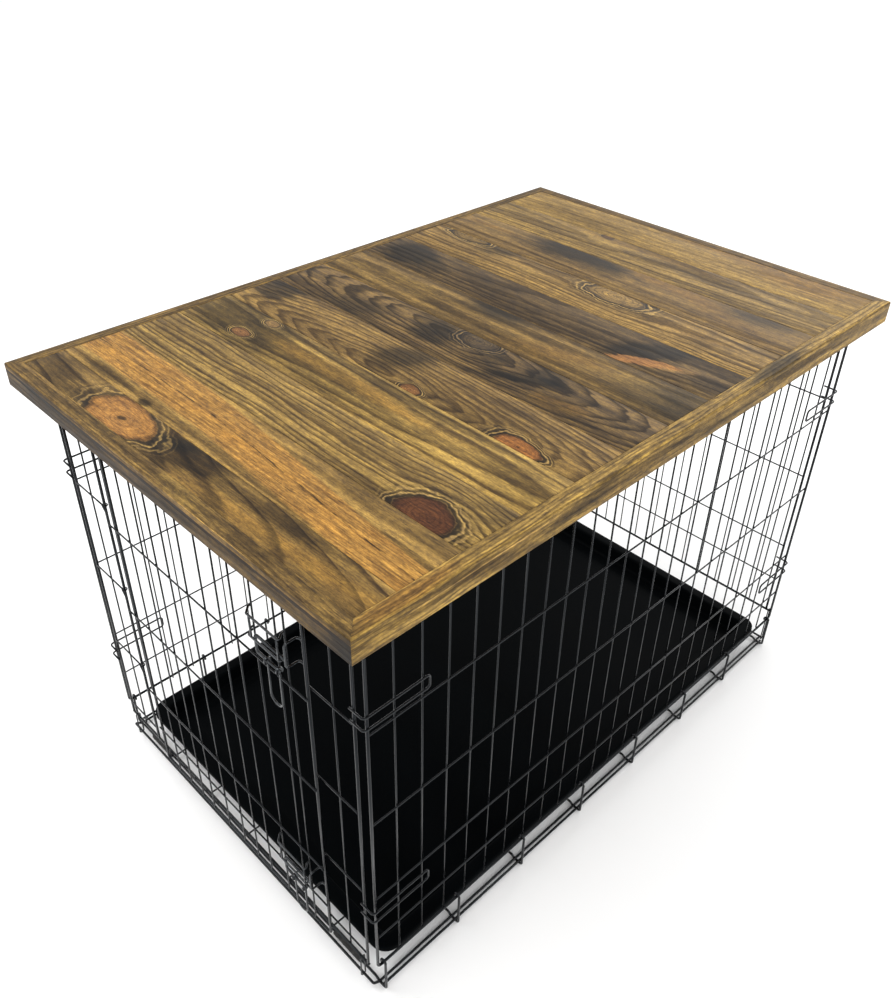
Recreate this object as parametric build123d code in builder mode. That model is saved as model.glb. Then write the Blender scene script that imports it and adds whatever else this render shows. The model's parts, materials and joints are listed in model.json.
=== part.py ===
"""Folding wire dog crate with a framed plank table top.

Millimetres. X runs across the crate, Y along it with the door end at -Y, and Z up.
The origin is the middle of the footprint, on the floor.
"""

import os

from build123d import *

os.makedirs("parts", exist_ok=True)

# ---------------------------------------------------------------- wire and running clearances
FRAME_WIRE = 4.4            # posts, rails and door jambs
FILL_WIRE = 2.6             # uprights and bars of the panels
CROSS_WIRE = 4.0            # floor cross wires, which are also the feet
FLOOR_FILL_WIRE = 3.0
CLIP_WIRE = 2.2             # hinge links, roof clips and door eyes
HOOK_WIRE = 3.0             # corner hooks, latch guides and keepers
BOLT_WIRE = 4.0
HANDLE_WIRE = 3.0
PIVOT_GAP = 0.4             # radial play of a wire eye on its wire
LINK_PLAY = 0.6             # of a hinge link on the floor's rail
PASSING_GAP = 0.6           # between pieces that pass each other
SEAT_GAP = 0.3              # between pieces that rest on each other

# ---------------------------------------------------------------- crate
CRATE_LENGTH = 1066.4       # over the end posts of the long sides
CRATE_WIDTH = 699.4         # over the rails of the long sides
SIDE_RAIL_HEIGHT = 68.0     # bottom rail of a long side
ROOF_HEIGHT = 742.6         # roof rails and top rails of the long sides
SIDE_BAR_GAPS = (70.0, 95.0, 161.0, 167.0, 181.6)       # from the bottom rail up to the roof
SIDE_BAYS = 24              # gaps between the uprights of a long side
CORNER_RADIUS = 8.0         # bend of a panel rail, on its centre line

END_STANDOFF = 3.0          # from the corner posts out to the end panels
FRONT_AXIS_HEIGHT = 56.0    # bottom rail of the door end, its fold axis
REAR_AXIS_HEIGHT = 82.0     # bottom rail of the back: it folds down over the door end
END_TOP_DROP = 6.6          # from the roof rails down to the top rails of the end panels
FRONT_INSET = 18.5          # from a corner post in to the front panel's post
REAR_INSET = 11.5
REAR_LINK_INSET = 4.9       # outside the rear posts, so that the pan slides out between
FRONT_LINK_GAP = 13.0       # from the front panel's post in to its link
STRIP_WIDTH = 87.0          # from the front panel's post in to the jamb
STRIP_UPRIGHT_GAP = 41.0    # from that post to the upright between them
STRIP_BAR_GAPS = (28.0, 153.0, 168.0, 164.0, 167.0)
REAR_BAR_GAPS = (81.0, 84.0, 165.0, 166.0, 158.0)
REAR_BAYS = 16

# ---------------------------------------------------------------- floor grid and pan
FLOOR_RAIL_INSETS = (8.5, 1.0)
FLOOR_SILL_HEIGHT = 14.0    # raised front rail of the floor
FLOOR_CROSS_COUNT = 8
FLOOR_CROSS_INSET = 10.0    # from an end post to the first cross wire
FLOOR_CROSS_HEIGHT = 6.0
FLOOR_FILL_COUNT = 5
FOOT_INSET = 17.5           # from a long side in to where a cross wire dips to its foot
FOOT_SLOPE_RUN = 6.0
PAD_LENGTH = 64.0
PAD_INSET = 82.5
PAN_SIDE_GAP = 17.0         # from the middle of a long side's post to the pan's rim
PAN_FRONT_GAP = 29.0        # from the door end
PAN_REAR_GAP = 8.0
PAN_DEPTH = 30.7
PAN_WALL = 2.5
PAN_RIM_WIDTH = 20.0
PAN_LIP_DROP = 9.0
PAN_CORNER_RADIUS = 28.0
PAN_DRAFT = 14.0
PAN_PANEL_INSET = 55.0      # raised field of the pan floor
PAN_PANEL_RISE = 1.2

# ---------------------------------------------------------------- door and latches
DOOR_HINGE_GAP = 36.0       # from the hinge side jamb to the door's own post
DOOR_LAP = 6.5              # past the latch side jamb
DOOR_BOTTOM = 41.0
DOOR_TOP_DROP = 24.0        # below the top rail of the panel
DOOR_BAR_GAPS = (79.0, 87.0, 175.0, 170.0, 160.0)
DOOR_BAYS = (40.0, 36.0, 36.5, 33.5, 44.5, 43.5, 37.5, 36.0, 45.5)
LATCH_UPRIGHTS = (101.5, 54.5, 35.5)    # back from the door's latch side post
EYE_PAIRS = ((1, 1), (2, 2), (3, 3))    # door bar, and the strip bar its eye rests on
EYE_LEG_OFFSET = 20.0       # from the jamb to the upright leg of an eye
UPPER_LATCH_DROP = 116.5    # below the top rail of the panel
LOWER_LATCH_HEIGHT = 169.0
GUIDE_RUN = (92.5, 27.5)    # ends of a guide's outer run, back from the door's latch side post
GUIDE_HEIGHT = 35.0
GUIDE_STANDOFF = 12.4       # from the door uprights to the guide's outer run
BOLT_PLAY = 0.4             # between a bolt and the guide it slides in
BOLT_CLEARANCE = 3.0        # from the drawn bolt's tip to its keeper
BOLT_LENGTH = 63.0
BOLT_DROP = 29.0            # from the shank to the run that carries the handle
BOLT_RUN = 48.0
HANDLE_WIDTH = 24.0
HANDLE_LENGTH = 68.0
HANDLE_END_GAP = 1.5        # from a handle eye to the end of the bolt's run
KEEPER_REACH = 11.0         # from the jamb in to the keeper
KEEPER_HEIGHT = 38.0
WIRE_BEND = 5.0

# ---------------------------------------------------------------- corner hooks and clips
UPPER_HOOK_DROP = 143.6     # below the roof rails
LOWER_HOOK_RISE = 144.0     # above the bottom rails
HOOK_HEIGHT = 20.5
HOOK_LENGTH = 94.0
HOOK_TAIL = 25.0
CLIPS_PER_SIDE = 4

# ---------------------------------------------------------------- table top
END_OVERHANG = 40.3         # of the top past the crate, at each end
SIDE_OVERHANG = 32.3
TRIM_WIDTH = 22.0
TRIM_HEIGHT = 38.0
PLANK_THICKNESS = 19.0
PLANK_COUNT = 12
FIRST_PLANK = 58.0          # ripped to what is left
BOARD_JOINT = 0.2           # hairline between boards
EDGE_ROUND = 3.0
PLANK_ROUND = 0.8


def spread(gaps, start, end):
    """Places between start and end, with the gaps in the given proportions."""
    stretch = (end - start) / sum(gaps)
    return [start + stretch * sum(gaps[:i]) for i in range(1, len(gaps))]


# ---------------------------------------------------------------- worked-out sizes
frame_r = FRAME_WIRE / 2
fill_r = FILL_WIRE / 2
layer = frame_r + fill_r                    # fill wire lying on a frame wire
side_x = CRATE_WIDTH / 2 - frame_r
post_y = CRATE_LENGTH / 2 - frame_r
side_upright_x = side_x - layer             # uprights lie inside the rails
side_bar_x = side_upright_x + FILL_WIRE     # bars lie outside the uprights
side_pitch = 2 * post_y / SIDE_BAYS
side_stations = [-post_y + side_pitch * i for i in range(1, SIDE_BAYS)]
side_bar_heights = spread(SIDE_BAR_GAPS, SIDE_RAIL_HEIGHT, ROOF_HEIGHT)

end_plane = post_y + END_STANDOFF
end_top = ROOF_HEIGHT - END_TOP_DROP
front_half = side_x - FRONT_INSET
front_link_x = front_half - FRONT_LINK_GAP
jamb_x = front_half - STRIP_WIDTH
strip_x = front_half - STRIP_UPRIGHT_GAP
strip_bar_heights = spread(STRIP_BAR_GAPS, FRONT_AXIS_HEIGHT, end_top)
rear_half = side_x - REAR_INSET
rear_link_x = side_x - REAR_LINK_INSET
rear_bar_heights = spread(REAR_BAR_GAPS, REAR_AXIS_HEIGHT, end_top)

floor_rail_offsets = [side_x - inset for inset in FLOOR_RAIL_INSETS]
foot_start = side_x - FOOT_INSET
foot_z = CROSS_WIRE / 2
floor_rail_z = foot_z + CROSS_WIRE
floor_fill_z = FLOOR_CROSS_HEIGHT + (CROSS_WIRE + FLOOR_FILL_WIRE) / 2
floor_top = floor_fill_z + FLOOR_FILL_WIRE / 2
pad_radius = floor_top - FLOOR_CROSS_HEIGHT  # level with the floor, so that the pan slides over
pan_bottom = floor_top + SEAT_GAP
pan_top = pan_bottom + PAN_DEPTH
pan_half_width = side_x - PAN_SIDE_GAP
pan_front = -end_plane + PAN_FRONT_GAP
pan_rear = end_plane - PAN_REAR_GAP

roof_half_width = side_upright_x - layer - PASSING_GAP
roof_cross_z = ROOF_HEIGHT + layer
roof_fill_z = roof_cross_z - FILL_WIRE
plank_bottom = roof_cross_z + fill_r + SEAT_GAP
top_height = plank_bottom + PLANK_THICKNESS
trim_bottom = top_height - TRIM_HEIGHT

top_length = CRATE_LENGTH + 2 * END_OVERHANG
top_width = CRATE_WIDTH + 2 * SIDE_OVERHANG

door_left = -jamb_x + DOOR_HINGE_GAP
door_right = jamb_x + DOOR_LAP
door_top = end_top - DOOR_TOP_DROP
door_bar_heights = spread(DOOR_BAR_GAPS, DOOR_BOTTOM, door_top)
latch_upright_x = [door_right - back for back in LATCH_UPRIGHTS]
door_upright_x = spread(DOOR_BAYS, door_left, latch_upright_x[0]) + latch_upright_x
latch_heights = {"upper": end_top - UPPER_LATCH_DROP, "lower": LOWER_LATCH_HEIGHT}
guide_left, guide_right = (door_right - back for back in GUIDE_RUN)
keeper_x = jamb_x - KEEPER_REACH
door_plane = end_plane + FRAME_WIRE + PIVOT_GAP
door_bar_plane = door_plane + layer
door_upright_plane = door_bar_plane - FILL_WIRE
guide_foot = door_upright_plane + fill_r
guide_plane = guide_foot + GUIDE_STANDOFF
bolt_plane = guide_plane - (HOOK_WIRE + BOLT_WIRE) / 2 - BOLT_PLAY
keeper_plane = bolt_plane + (HOOK_WIRE + BOLT_WIRE) / 2 + PASSING_GAP
bolt_drop_in_guide = (GUIDE_HEIGHT - HOOK_WIRE - BOLT_WIRE) / 2 - BOLT_PLAY
bolt_tip = keeper_x - HOOK_WIRE / 2 - BOLT_CLEARANCE
bolt_left = bolt_tip - BOLT_LENGTH


def bent_wire(points, diameter, bend):
    """Add a round wire along straight runs joined by bends of one radius, or one per corner."""
    with BuildLine() as path:
        FilletPolyline(*points, radius=bend)
    with BuildSketch(Plane(origin=path.line @ 0, z_dir=path.line % 0)) as section:
        Circle(diameter / 2)
    sweep(section.sketch, path=path.line)


def wires_up(places, diameter, bottom, top):
    """Add upright straight wires at the given X, Y places."""
    with BuildSketch(Plane.XY.offset(bottom)) as section:
        with Locations(*places):
            Circle(diameter / 2)
    extrude(section.sketch, amount=top - bottom)


def wires_along(places, diameter, start, end):
    """Add straight wires along Y at the given X, Z places."""
    with BuildSketch(Plane.XZ.offset(-start)) as section:
        with Locations(*places):
            Circle(diameter / 2)
    extrude(section.sketch, amount=start - end)


def wires_across(places, diameter, start, end):
    """Add straight wires along X at the given Y, Z places."""
    with BuildSketch(Plane.YZ.offset(start)) as section:
        with Locations(*places):
            Circle(diameter / 2)
    extrude(section.sketch, amount=end - start)


def oval_link(plane, spread, reach, diameter):
    """Add a closed oval wire in a plane: half width 'reach', ends at +-spread/2."""
    half = spread / 2
    with BuildLine(plane) as oval:
        Line((-reach, -half), (-reach, half))
        ThreePointArc((-reach, half), (0, half + reach), (reach, half))
        Line((reach, half), (reach, -half))
        ThreePointArc((reach, -half), (0, -half - reach), (-reach, -half))
    with BuildSketch(Plane(origin=oval.line @ 0, z_dir=oval.line % 0)) as section:
        Circle(diameter / 2)
    sweep(section.sketch, path=oval.line)


def save(builder, name):
    """Label a finished piece and write its STEP file."""
    builder.part.label = name
    export_step(builder.part, f"parts/{name}.step")


def clear_of_uprights(y, room):
    """Move a station on a long side away from any upright nearer than 'room'."""
    nearest = min(side_stations, key=lambda station: abs(station - y))
    gap = y - nearest
    if abs(gap) >= room:
        return y
    return nearest + (room if gap >= 0 else -room)


# ---------------------------------------------------------------- floor grid
cross_span = post_y - FLOOR_CROSS_INSET
even_step = 2 * cross_span / (FLOOR_CROSS_COUNT - 1)
hook_room = CROSS_WIRE / 2 + fill_r + PASSING_GAP
hook_reach = frame_r + PIVOT_GAP + CROSS_WIRE / 2
cross_stations = [
    clear_of_uprights(-cross_span + even_step * i, hook_room) for i in range(FLOOR_CROSS_COUNT)
]

cross_end = foot_start - CROSS_WIRE
with BuildPart() as floor_cross_wires:
    wires_across(
        [(y, FLOOR_CROSS_HEIGHT) for y in cross_stations], CROSS_WIRE, -cross_end, cross_end
    )
save(floor_cross_wires, "floor_cross_wires")

# Each cross wire dips to a foot, turns up outside the long side, and curls over its bottom rail.
with BuildPart() as side_hinge_hooks:
    for side in (-1, 1):
        for y in cross_stations:
            bent_wire(
                [
                    (side * cross_end, y, FLOOR_CROSS_HEIGHT),
                    (side * foot_start, y, FLOOR_CROSS_HEIGHT),
                    (side * (foot_start + FOOT_SLOPE_RUN), y, foot_z),
                    (side * (side_x + hook_reach), y, foot_z),
                    (side * (side_x + hook_reach), y, SIDE_RAIL_HEIGHT + hook_reach),
                    (side * (side_x - hook_reach), y, SIDE_RAIL_HEIGHT + hook_reach),
                    (side * (side_x - hook_reach), y, SIDE_RAIL_HEIGHT - frame_r),
                ],
                CROSS_WIRE,
                (3.0, 3.0, 4.0, hook_reach * 0.95, hook_reach * 0.95),
            )
save(side_hinge_hooks, "side_hinge_hooks")

# The front rail of the floor is raised on two bent ends; the rear one lies low under the pan.
rail_end = cross_span + CROSS_WIRE / 2
with BuildPart() as floor_end_rails:
    bent_wire(
        [
            (-floor_rail_offsets[0], -cross_span + CROSS_WIRE, floor_rail_z),
            (-floor_rail_offsets[0], -rail_end, floor_rail_z),
            (-floor_rail_offsets[0], -end_plane, FLOOR_SILL_HEIGHT),
            (floor_rail_offsets[0], -end_plane, FLOOR_SILL_HEIGHT),
            (floor_rail_offsets[0], -rail_end, floor_rail_z),
            (floor_rail_offsets[0], -cross_span + CROSS_WIRE, floor_rail_z),
        ],
        CROSS_WIRE,
        CROSS_WIRE * 0.75,
    )
    rear_rail_end = side_x - frame_r - PASSING_GAP
    wires_across([(end_plane, floor_rail_z)], CROSS_WIRE, -rear_rail_end, rear_rail_end)
save(floor_end_rails, "floor_end_rails")

fill_step = 2 * floor_rail_offsets[0] / (FLOOR_FILL_COUNT + 1)
fill_places = [-floor_rail_offsets[0] + fill_step * i for i in range(1, FLOOR_FILL_COUNT + 1)]
with BuildPart() as floor_long_wires:
    inner_rails = [(x * floor_rail_offsets[0], floor_rail_z) for x in (-1, 1)]
    outer_rails = [(x * floor_rail_offsets[1], floor_rail_z) for x in (-1, 1)]
    wires_along(
        inner_rails, CROSS_WIRE, -cross_span + CROSS_WIRE, end_plane - CROSS_WIRE / 2
    )
    wires_along(outer_rails, CROSS_WIRE, -rail_end, rail_end)
    wires_along(
        [(x, floor_fill_z) for x in fill_places],
        FLOOR_FILL_WIRE,
        -rail_end,
        rail_end,
    )
save(floor_long_wires, "floor_long_wires")

pad_offset = side_x - PAD_INSET
with BuildPart() as floor_pads:
    for y in (cross_stations[0], cross_stations[-1]):
        for side in (-1, 1):
            with BuildSketch(Plane.YZ.offset(side * pad_offset - PAD_LENGTH / 2)):
                with Locations((y, FLOOR_CROSS_HEIGHT)):
                    Circle(pad_radius)
                    Circle(CROSS_WIRE / 2, mode=Mode.SUBTRACT)
            extrude(amount=PAD_LENGTH)
save(floor_pads, "floor_pads")

# ---------------------------------------------------------------- long sides
for side, side_name in ((-1, "left"), (1, "right")):
    with BuildPart() as side_rails:
        for rail_z, inward in ((SIDE_RAIL_HEIGHT, 1), (ROOF_HEIGHT, -1)):
            post_end = rail_z + inward * CORNER_RADIUS
            bent_wire(
                [
                    (side * side_x, -post_y, post_end),
                    (side * side_x, -post_y, rail_z),
                    (side * side_x, post_y, rail_z),
                    (side * side_x, post_y, post_end),
                ],
                FRAME_WIRE,
                CORNER_RADIUS * 0.9,
            )
    save(side_rails, f"{side_name}_side_rails")

    with BuildPart() as side_uprights:
        wires_up(
            [(side * side_x, y) for y in (-post_y, post_y)],
            FRAME_WIRE,
            SIDE_RAIL_HEIGHT + CORNER_RADIUS,
            ROOF_HEIGHT - CORNER_RADIUS,
        )
        wires_up(
            [(side * side_upright_x, y) for y in side_stations],
            FILL_WIRE,
            SIDE_RAIL_HEIGHT - frame_r,
            ROOF_HEIGHT + frame_r,
        )
    save(side_uprights, f"{side_name}_side_uprights")

    with BuildPart() as side_bars:
        wires_along(
            [(side * side_bar_x, z) for z in side_bar_heights],
            FILL_WIRE,
            -post_y + frame_r,
            post_y - frame_r,
        )
    save(side_bars, f"{side_name}_side_bars")

    # A corner hook: a long U on the outside of the side, its two ends turned round the corner
    # in front of the end panel's post.
    hook_x = side_x + frame_r + HOOK_WIRE / 2
    with BuildPart() as corner_hooks:
        for end in (-1, 1):
            tail_y = end * (end_plane + frame_r + PASSING_GAP + HOOK_WIRE / 2)
            loop_y = end * (post_y - HOOK_LENGTH)
            for hook_z in (ROOF_HEIGHT - UPPER_HOOK_DROP, SIDE_RAIL_HEIGHT + LOWER_HOOK_RISE):
                bent_wire(
                    [
                        (side * (hook_x - HOOK_TAIL), tail_y, hook_z),
                        (side * hook_x, tail_y, hook_z),
                        (side * hook_x, loop_y, hook_z),
                        (side * hook_x, loop_y, hook_z - HOOK_HEIGHT),
                        (side * hook_x, tail_y, hook_z - HOOK_HEIGHT),
                        (side * (hook_x - HOOK_TAIL), tail_y, hook_z - HOOK_HEIGHT),
                    ],
                    HOOK_WIRE,
                    WIRE_BEND,
                )
    save(corner_hooks, f"{side_name}_corner_hooks")

# ---------------------------------------------------------------- roof
with BuildPart() as roof_end_rails:
    for end in (-1, 1):
        bent_wire(
            [
                (-roof_half_width, end * (post_y - CORNER_RADIUS), ROOF_HEIGHT),
                (-roof_half_width, end * post_y, ROOF_HEIGHT),
                (roof_half_width, end * post_y, ROOF_HEIGHT),
                (roof_half_width, end * (post_y - CORNER_RADIUS), ROOF_HEIGHT),
            ],
            FRAME_WIRE,
            CORNER_RADIUS * 0.9,
        )
save(roof_end_rails, "roof_end_rails")

roof_fill_count = 5
roof_fill_pitch = 2 * roof_half_width / (roof_fill_count + 1)
with BuildPart() as roof_long_wires:
    wires_along(
        [(x * roof_half_width, ROOF_HEIGHT) for x in (-1, 1)],
        FRAME_WIRE,
        -post_y + CORNER_RADIUS,
        post_y - CORNER_RADIUS,
    )
    wires_along(
        [(-roof_half_width + roof_fill_pitch * i, roof_fill_z) for i in range(1, roof_fill_count + 1)],
        FILL_WIRE,
        -post_y + frame_r,
        post_y - frame_r,
    )
save(roof_long_wires, "roof_long_wires")

with BuildPart() as roof_cross_wires:
    wires_across(
        [(y, roof_cross_z) for y in side_stations],
        FILL_WIRE,
        -roof_half_width - frame_r,
        roof_half_width + frame_r,
    )
save(roof_cross_wires, "roof_cross_wires")

clip_reach = frame_r + PIVOT_GAP + CLIP_WIRE / 2
clip_step = 2 * cross_span / CLIPS_PER_SIDE
with BuildPart() as roof_hinge_clips:
    for side in (-1, 1):
        for i in range(CLIPS_PER_SIDE):
            even = -cross_span + clip_step * (i + 0.5)
            clip_y = clear_of_uprights(even, CLIP_WIRE + PASSING_GAP)
            clip_plane = Plane(
                origin=(side * (side_x + roof_half_width) / 2, clip_y, ROOF_HEIGHT),
                x_dir=(0, 0, 1),
                z_dir=(0, 1, 0),
            )
            oval_link(clip_plane, side_x - roof_half_width, clip_reach, CLIP_WIRE)
save(roof_hinge_clips, "roof_hinge_clips")

# ---------------------------------------------------------------- end panels' hinge links
for end, end_name, link_x, axis_z in (
    (-1, "front", front_link_x, FRONT_AXIS_HEIGHT),
    (1, "rear", rear_link_x, REAR_AXIS_HEIGHT),
):
    floor_z = FLOOR_SILL_HEIGHT if end_name == "front" else floor_rail_z
    low_z = floor_z + clip_reach - (CROSS_WIRE + CLIP_WIRE) / 2 - LINK_PLAY
    with BuildPart() as hinge_links:
        for side in (-1, 1):
            link_plane = Plane(
                origin=(side * link_x, end * end_plane, (axis_z + low_z) / 2),
                x_dir=(0, 1, 0),
                z_dir=(1, 0, 0),
            )
            oval_link(link_plane, axis_z - low_z, clip_reach, CLIP_WIRE)
    save(hinge_links, f"{end_name}_hinge_links")

# ---------------------------------------------------------------- door end panel
strip_bar_y = -(end_plane + layer - FILL_WIRE)
strip_upright_y = strip_bar_y + FILL_WIRE
front_rail_end = front_half + frame_r
front_rail_top = FRONT_AXIS_HEIGHT + frame_r

with BuildPart() as front_rails:
    wires_across([(-end_plane, FRONT_AXIS_HEIGHT)], FRAME_WIRE, -front_rail_end, front_rail_end)
    bent_wire(
        [
            (-front_half, -end_plane, end_top - CORNER_RADIUS),
            (-front_half, -end_plane, end_top),
            (front_half, -end_plane, end_top),
            (front_half, -end_plane, end_top - CORNER_RADIUS),
        ],
        FRAME_WIRE,
        CORNER_RADIUS * 0.9,
    )
save(front_rails, "front_rails")

with BuildPart() as front_posts:
    wires_up(
        [(side * front_half, -end_plane) for side in (-1, 1)],
        FRAME_WIRE,
        front_rail_top,
        end_top - CORNER_RADIUS,
    )
    wires_up(
        [(side * jamb_x, -end_plane) for side in (-1, 1)],
        FRAME_WIRE,
        front_rail_top,
        end_top - frame_r,
    )
    wires_up(
        [(side * strip_x, strip_upright_y) for side in (-1, 1)],
        FILL_WIRE,
        front_rail_top,
        end_top - frame_r,
    )
save(front_posts, "front_posts")

with BuildPart() as front_strip_bars:
    strip_places = [(strip_bar_y, z) for z in strip_bar_heights]
    strip_start = jamb_x + frame_r
    strip_end = front_half - frame_r
    wires_across(strip_places, FILL_WIRE, strip_start, strip_end)
    wires_across(strip_places, FILL_WIRE, -strip_end, -strip_start)
save(front_strip_bars, "front_strip_bars")

# Keepers on the latch side jamb: staples that stand out through the last bay of the door.
with BuildPart() as bolt_keepers:
    for latch_z in latch_heights.values():
        bent_wire(
            [
                (jamb_x - frame_r, -end_plane, latch_z - KEEPER_HEIGHT / 2),
                (keeper_x, -end_plane, latch_z - KEEPER_HEIGHT / 2),
                (keeper_x, -keeper_plane, latch_z - KEEPER_HEIGHT / 2),
                (keeper_x, -keeper_plane, latch_z + KEEPER_HEIGHT / 2),
                (keeper_x, -end_plane, latch_z + KEEPER_HEIGHT / 2),
                (jamb_x - frame_r, -end_plane, latch_z + KEEPER_HEIGHT / 2),
            ],
            HOOK_WIRE,
            WIRE_BEND,
        )
save(bolt_keepers, "bolt_keepers")

# ---------------------------------------------------------------- rear panel
rear_pitch = 2 * rear_half / REAR_BAYS
rear_upright_y = end_plane + layer
rear_bar_y = rear_upright_y - FILL_WIRE

rear_pivot_end = rear_link_x + CLIP_WIRE / 2 + PASSING_GAP
with BuildPart() as rear_rails:
    wires_across([(end_plane, REAR_AXIS_HEIGHT)], FRAME_WIRE, -rear_pivot_end, rear_pivot_end)
    bent_wire(
        [
            (-rear_half, end_plane, end_top - CORNER_RADIUS),
            (-rear_half, end_plane, end_top),
            (rear_half, end_plane, end_top),
            (rear_half, end_plane, end_top - CORNER_RADIUS),
        ],
        FRAME_WIRE,
        CORNER_RADIUS * 0.9,
    )
save(rear_rails, "rear_rails")

with BuildPart() as rear_uprights:
    wires_up(
        [(side * rear_half, end_plane) for side in (-1, 1)],
        FRAME_WIRE,
        REAR_AXIS_HEIGHT + frame_r,
        end_top - CORNER_RADIUS,
    )
    wires_up(
        [(-rear_half + rear_pitch * i, rear_upright_y) for i in range(1, REAR_BAYS)],
        FILL_WIRE,
        REAR_AXIS_HEIGHT - frame_r,
        end_top + frame_r,
    )
save(rear_uprights, "rear_uprights")

with BuildPart() as rear_bars:
    wires_across(
        [(rear_bar_y, z) for z in rear_bar_heights],
        FILL_WIRE,
        -rear_half + frame_r,
        rear_half - frame_r,
    )
save(rear_bars, "rear_bars")

# ---------------------------------------------------------------- door
with BuildPart() as door_rails:
    for rail_z, inward in ((DOOR_BOTTOM, 1), (door_top, -1)):
        post_end = rail_z + inward * CORNER_RADIUS
        bent_wire(
            [
                (door_left, -door_plane, post_end),
                (door_left, -door_plane, rail_z),
                (door_right, -door_plane, rail_z),
                (door_right, -door_plane, post_end),
            ],
            FRAME_WIRE,
            CORNER_RADIUS * 0.9,
        )
save(door_rails, "door_rails")

with BuildPart() as door_uprights:
    wires_up(
        [(x, -door_plane) for x in (door_left, door_right)],
        FRAME_WIRE,
        DOOR_BOTTOM + CORNER_RADIUS,
        door_top - CORNER_RADIUS,
    )
    wires_up(
        [(x, -door_upright_plane) for x in door_upright_x],
        FILL_WIRE,
        DOOR_BOTTOM + frame_r,
        door_top - frame_r,
    )
save(door_uprights, "door_uprights")

bar_left = door_left - frame_r
with BuildPart() as door_bars:
    wires_across(
        [(-door_bar_plane, z) for z in door_bar_heights], FILL_WIRE, bar_left, door_right + frame_r
    )
save(door_bars, "door_bars")

# Three bars run on past the door's edge, turn up, and end in an eye on the jamb wire.
eye_radius = frame_r + PIVOT_GAP + CLIP_WIRE / 2
leg_x = -jamb_x + EYE_LEG_OFFSET
with BuildPart() as door_hinge_eyes:
    for bar, strip_bar in EYE_PAIRS:
        eye_z = strip_bar_heights[strip_bar] + fill_r + SEAT_GAP + CLIP_WIRE / 2
        with Locations((-jamb_x, -end_plane, eye_z)):
            Torus(eye_radius, CLIP_WIRE / 2)
        bent_wire(
            [
                (bar_left, -door_bar_plane, door_bar_heights[bar]),
                (leg_x, -door_bar_plane, door_bar_heights[bar]),
                (leg_x, -door_bar_plane, eye_z),
                (-jamb_x, -end_plane - eye_radius, eye_z),
            ],
            CLIP_WIRE,
            WIRE_BEND / 2,
        )
save(door_hinge_eyes, "door_hinge_eyes")

# Latch guides: a long staple above the bolt and one below, joined by an end wire each side.
with BuildPart() as latch_guides:
    for latch_z in latch_heights.values():
        for half in (-1, 1):
            run_z = latch_z + half * GUIDE_HEIGHT / 2
            bent_wire(
                [
                    (door_upright_x[-3], -guide_foot, run_z),
                    (door_upright_x[-3], -guide_foot - HOOK_WIRE, run_z),
                    (guide_left, -guide_plane, run_z),
                    (guide_right, -guide_plane, run_z),
                    (door_upright_x[-1], -guide_foot - HOOK_WIRE, run_z),
                    (door_upright_x[-1], -guide_foot, run_z),
                ],
                HOOK_WIRE,
                WIRE_BEND / 2,
            )
        wires_up(
            [(x, -guide_plane) for x in (guide_left + WIRE_BEND, guide_right - WIRE_BEND)],
            HOOK_WIRE,
            latch_z - (GUIDE_HEIGHT - HOOK_WIRE) / 2,
            latch_z + (GUIDE_HEIGHT - HOOK_WIRE) / 2,
        )
save(latch_guides, "latch_guides")

# ---------------------------------------------------------------- slide bolts and their handles
handle_eye = BOLT_WIRE / 2 + PIVOT_GAP
for latch_name, latch_z in latch_heights.items():
    shank_z = latch_z - bolt_drop_in_guide
    run_z = shank_z - BOLT_DROP
    run_right = bolt_left + BOLT_RUN
    with BuildPart() as slide_bolt:
        bent_wire(
            [
                (bolt_tip, -bolt_plane, shank_z),
                (bolt_left, -bolt_plane, shank_z),
                (bolt_left, -bolt_plane, run_z),
                (run_right, -bolt_plane, run_z),
            ],
            BOLT_WIRE,
            WIRE_BEND,
        )
    save(slide_bolt, f"{latch_name}_slide_bolt")

    handle_right = run_right - HANDLE_END_GAP - HANDLE_WIRE / 2
    handle_left = handle_right - HANDLE_WIDTH
    leg_top = run_z - handle_eye - HANDLE_WIRE / 2
    with BuildPart() as bolt_handle:
        bent_wire(
            [
                (handle_left, -bolt_plane, leg_top),
                (handle_left, -bolt_plane, run_z - HANDLE_LENGTH),
                (handle_right, -bolt_plane, run_z - HANDLE_LENGTH),
                (handle_right, -bolt_plane, leg_top),
            ],
            HANDLE_WIRE,
            HANDLE_WIDTH / 2 * 0.95,
        )
        for x in (handle_left, handle_right):
            with BuildSketch(Plane.YZ.offset(x - HANDLE_WIRE * 0.4)):
                with Locations((-bolt_plane, run_z)):
                    Circle(handle_eye + HANDLE_WIRE)
                    Circle(handle_eye, mode=Mode.SUBTRACT)
            extrude(amount=HANDLE_WIRE * 0.8)
    save(bolt_handle, f"{latch_name}_bolt_handle")

# ---------------------------------------------------------------- slide-out pan
pan_middle = (pan_front + pan_rear) / 2
pan_half_length = (pan_rear - pan_front) / 2


def pan_outline(height, inset, radius):
    """Draw the pan's rounded outline at a height, drawn in by an inset."""
    with BuildSketch(Plane.XY.offset(height)) as outline:
        with Locations((0, pan_middle)):
            RectangleRounded(
                2 * (pan_half_width - inset), 2 * (pan_half_length - inset), radius
            )
    return outline.sketch


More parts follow.
